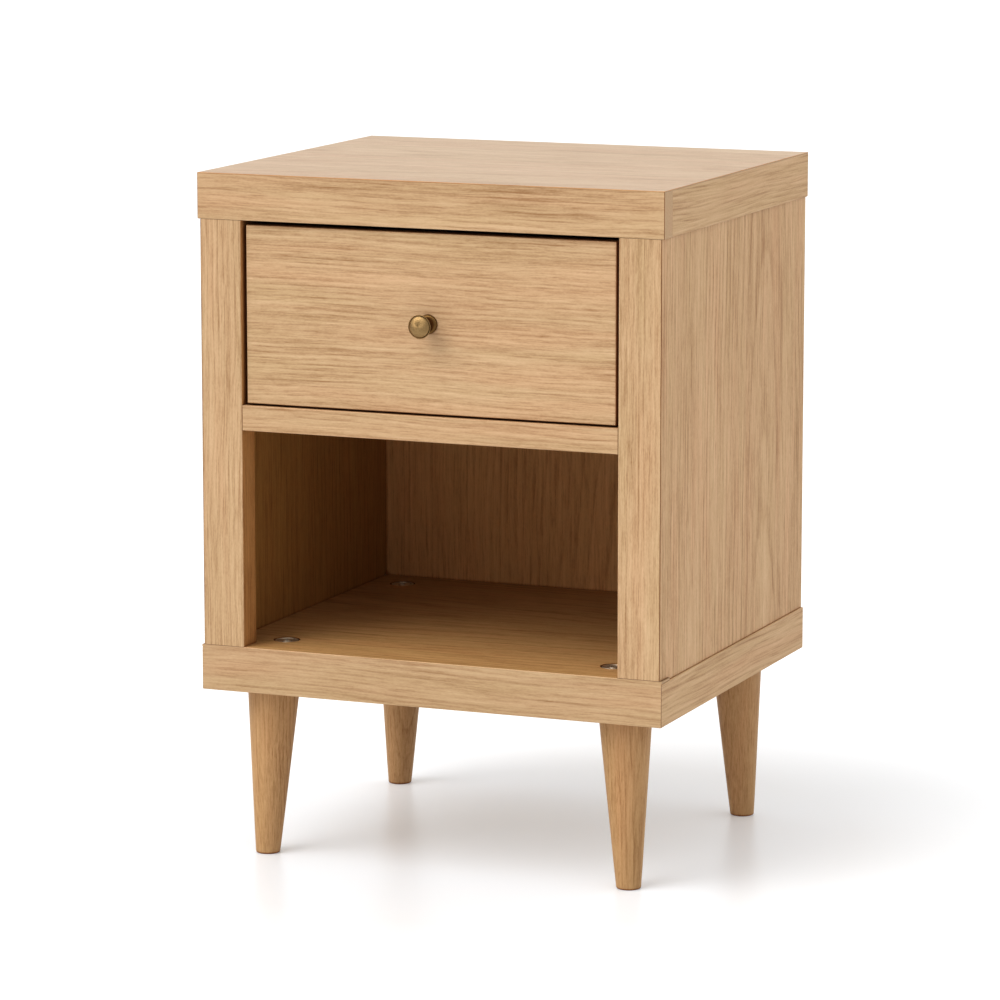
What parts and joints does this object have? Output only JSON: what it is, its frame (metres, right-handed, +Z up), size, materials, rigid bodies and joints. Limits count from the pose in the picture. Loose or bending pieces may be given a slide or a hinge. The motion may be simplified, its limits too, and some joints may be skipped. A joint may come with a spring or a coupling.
{
  "type": "nightstand",
  "caption": "Oak nightstand with a full-extension drawer above an open cubby, standing on splayed, tapered turned legs.",
  "frame": {"origin": "on the floor, under the centre of the whole nightstand's plan including its knob", "axes": "+Z up, -Y out of the drawer's face, +X to the right for someone facing the drawer"},
  "size_m": [0.45, 0.4102, 0.635],
  "materials": {
    "oak_horizontal": "light honey oak, grain along the board, clear satin lacquer",
    "oak_vertical": "light honey oak, upright grain, clear satin lacquer",
    "oak_top": "light honey oak veneer, grain along the width, clear satin lacquer",
    "leg_oak": "turned solid oak, a shade darker, clear satin lacquer",
    "core_board": "unfinished fibreboard core",
    "drawer_box_ply": "pale sealed wood",
    "antique_brass": "antiqued, satin",
    "zinc_steel": "zinc plated"
  },
  "bodies": {
    "cabinet": {"back_panel": "oak_vertical", "back_screw_left_high": "zinc_steel", "back_screw_left_low": "zinc_steel", "back_screw_left_middle": "zinc_steel", "back_screw_right_high": "zinc_steel", "back_screw_right_low": "zinc_steel", "back_screw_right_middle": "zinc_steel", "base_front_edging": "oak_horizontal", "base_left_edging": "oak_horizontal", "base_panel": "oak_horizontal", "base_rear_edging": "oak_horizontal", "base_right_edging": "oak_horizontal", "divider_rail": "oak_horizontal", "divider_shelf": "oak_horizontal", "left_side_panel": "oak_vertical", "left_slide_outer": "zinc_steel", "left_slide_spacer": "core_board", "left_stile": "oak_vertical", "leg_bolt_front_left": "zinc_steel", "leg_bolt_front_right": "zinc_steel", "leg_bolt_rear_left": "zinc_steel", "leg_bolt_rear_right": "zinc_steel", "leg_front_left": "leg_oak", "leg_front_right": "leg_oak", "leg_insert_front_left": "zinc_steel", "leg_insert_front_right": "zinc_steel", "leg_insert_rear_left": "zinc_steel", "leg_insert_rear_right": "zinc_steel", "leg_rear_left": "leg_oak", "leg_rear_right": "leg_oak", "leg_washer_front_left": "zinc_steel", "leg_washer_front_right": "zinc_steel", "leg_washer_rear_left": "zinc_steel", "leg_washer_rear_right": "zinc_steel", "right_side_panel": "oak_vertical", "right_slide_outer": "zinc_steel", "right_slide_spacer": "core_board", "right_stile": "oak_vertical", "top_core": "core_board", "top_front_edging": "oak_horizontal", "top_left_edging": "oak_horizontal", "top_rear_edging": "oak_horizontal", "top_right_edging": "oak_horizontal", "top_veneer": "oak_top"},
    "drawer": {"drawer_bottom": "drawer_box_ply", "drawer_box_back": "drawer_box_ply", "drawer_box_front": "drawer_box_ply", "drawer_front": "oak_horizontal", "drawer_front_screw_left": "zinc_steel", "drawer_front_screw_right": "zinc_steel", "drawer_left_side": "drawer_box_ply", "drawer_right_side": "drawer_box_ply", "knob": "antique_brass", "knob_screw": "zinc_steel", "left_slide_inner": "zinc_steel", "right_slide_inner": "zinc_steel"},
    "left_slide_carriage": {"left_slide_middle": "zinc_steel"},
    "right_slide_carriage": {"right_slide_middle": "zinc_steel"}
  },
  "joints": [
    {"name": "drawer_travel", "type": "slide", "parent": "cabinet", "child": "drawer", "axis": [0, -1, 0], "range_m": [0, 0.35]},
    {"name": "left_slide_travel", "type": "slide", "parent": "cabinet", "child": "left_slide_carriage", "axis": [0, -1, 0], "range_m": [0, 0.175]},
    {"name": "right_slide_travel", "type": "slide", "parent": "cabinet", "child": "right_slide_carriage", "axis": [0, -1, 0], "range_m": [0, 0.175]}
  ],
  "couplings": [
    {"joint": "left_slide_travel", "follows": "drawer_travel", "ratio": 0.5},
    {"joint": "right_slide_travel", "follows": "drawer_travel", "ratio": 0.5}
  ]
}
